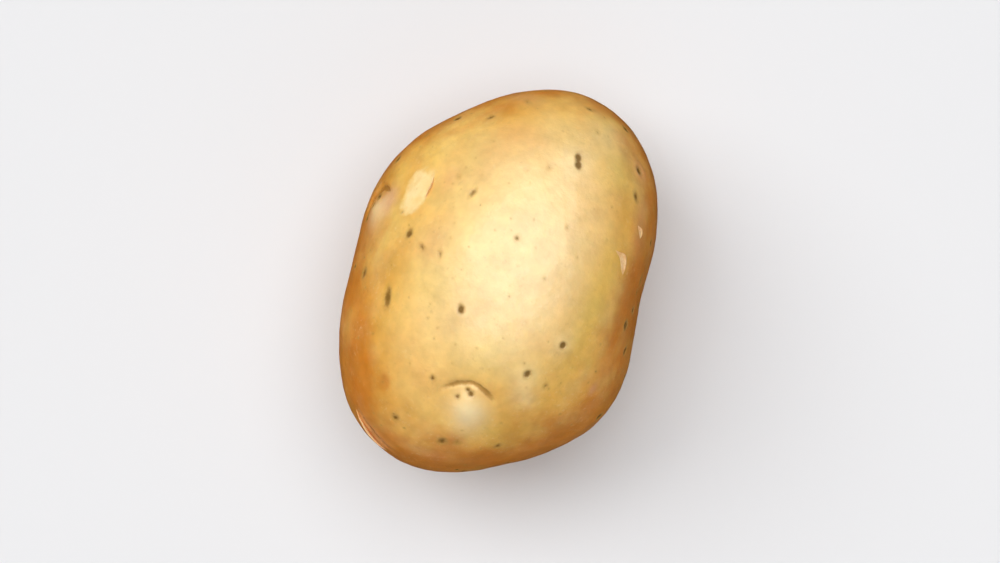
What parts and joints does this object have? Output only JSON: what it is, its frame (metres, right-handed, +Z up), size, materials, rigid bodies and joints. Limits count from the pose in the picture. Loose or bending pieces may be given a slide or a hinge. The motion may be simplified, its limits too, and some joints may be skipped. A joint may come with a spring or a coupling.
{
  "type": "potato",
  "caption": "Small whole yellow-skinned potato, an uneven rounded oval with shallow eyes and a slight waist, lying on a small flat spot.",
  "frame": {"origin": "in the plane of the resting spot, under the middle of the tuber's outline", "axes": "+X runs along the tuber from the stem end to the bud end, +Y runs across it towards the side with the waist, +Z is up through its thickness as it lies"},
  "size_m": [0.0644, 0.048, 0.043],
  "materials": {
    "skin": "thin, smooth, satin yellow-ochre potato skin with small brown pores and faint russet patches"
  },
  "bodies": {
    "root": {"potato": "skin"}
  },
  "joints": []
}
